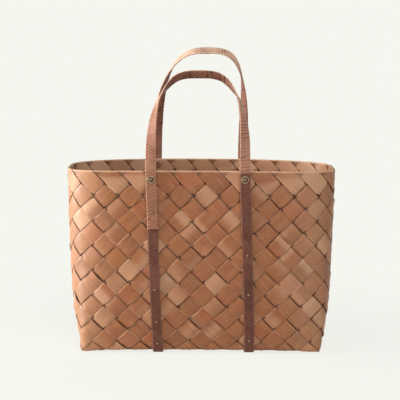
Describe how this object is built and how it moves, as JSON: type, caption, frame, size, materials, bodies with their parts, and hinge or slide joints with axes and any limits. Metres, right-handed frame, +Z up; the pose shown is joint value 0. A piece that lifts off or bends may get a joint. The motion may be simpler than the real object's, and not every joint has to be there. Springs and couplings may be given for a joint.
{
  "type": "woven tote basket",
  "caption": "Open tote basket plaited on the bias from flat bark strips, with two leather carrying handles riveted to straps that run under the base.",
  "frame": {"origin": "on the surface that the basket stands on, under the middle of its base", "axes": "+X along the basket to the right as seen from the front, +Y from front to back, +Z up"},
  "size_m": [0.4428, 0.208, 0.501],
  "materials": {
    "bark": "dry, matt bark strip with a fine lengthwise grain",
    "tan_leather": "aged vegetable-tanned leather with fine cross creases",
    "dark_leather": "dark red-brown leather with a cracked, rubbed surface",
    "old_brass": "antiqued, low sheen"
  },
  "bodies": {
    "basket": {"rising_strip_01": "bark", "rising_strip_02": "bark", "rising_strip_03": "bark", "rising_strip_04": "bark", "rising_strip_05": "bark", "rising_strip_06": "bark", "rising_strip_07": "bark", "rising_strip_08": "bark", "rising_strip_09": "bark", "rising_strip_10": "bark", "rising_strip_11": "bark", "rising_strip_12": "bark", "rising_strip_13": "bark", "rising_strip_14": "bark", "falling_strip_01": "bark", "falling_strip_02": "bark", "falling_strip_03": "bark", "falling_strip_04": "bark", "falling_strip_05": "bark", "falling_strip_06": "bark", "falling_strip_07": "bark", "falling_strip_08": "bark", "falling_strip_09": "bark", "falling_strip_10": "bark", "falling_strip_11": "bark", "falling_strip_12": "bark", "falling_strip_13": "bark", "falling_strip_14": "bark", "left_girdle_strap": "dark_leather", "right_girdle_strap": "dark_leather", "front_left_handle_end": "tan_leather", "front_right_handle_end": "tan_leather", "back_left_handle_end": "tan_leather", "back_right_handle_end": "tan_leather", "handle_rivet_caps": "old_brass", "handle_rivet_posts": "old_brass", "strap_rivets": "old_brass", "strap_rivet_washers": "old_brass"},
    "front_handle": {"front_handle_loop": "tan_leather"},
    "back_handle": {"back_handle_loop": "tan_leather"}
  },
  "joints": [
    {"name": "front_handle_swing", "type": "hinge", "parent": "basket", "child": "front_handle", "pos_m": [0, -0.10238, 0.30835], "axis": [1, 0, 0], "range_deg": [-8, 150]},
    {"name": "back_handle_swing", "type": "hinge", "parent": "basket", "child": "back_handle", "pos_m": [0, 0.0992, 0.30835], "axis": [-1, 0, 0], "range_deg": [-8, 150]}
  ]
}
